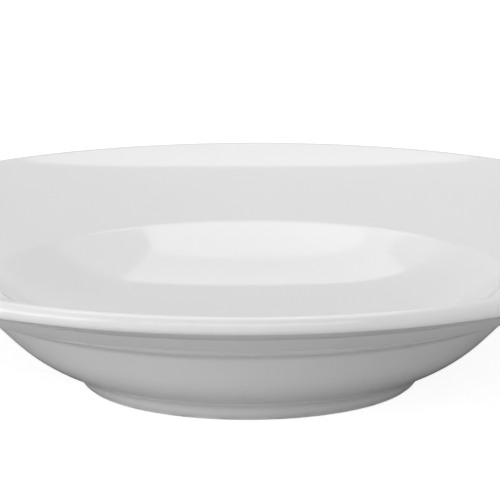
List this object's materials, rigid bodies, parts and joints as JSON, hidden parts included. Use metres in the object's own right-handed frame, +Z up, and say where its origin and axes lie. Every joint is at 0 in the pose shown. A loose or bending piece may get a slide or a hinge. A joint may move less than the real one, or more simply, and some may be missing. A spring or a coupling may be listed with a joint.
{
  "type": "pasta bowl",
  "caption": "Wide-rimmed white porcelain pasta bowl with a rolled lip, a stacking shoulder under the rim and a low foot ring with a bare standing edge.",
  "frame": {"origin": "centre of the standing plane, under the foot ring", "axes": "+Z up along the axis that the bowl is turned about; X and Y are alike"},
  "size_m": [0.27, 0.27, 0.0515],
  "materials": {
    "bare_porcelain": "fired, unglazed, matt",
    "white_glaze": "clear glossy glaze over white porcelain"
  },
  "bodies": {
    "root": {"porcelain_body": "bare_porcelain", "glaze_coat": "white_glaze", "base_glaze": "white_glaze"}
  },
  "joints": []
}
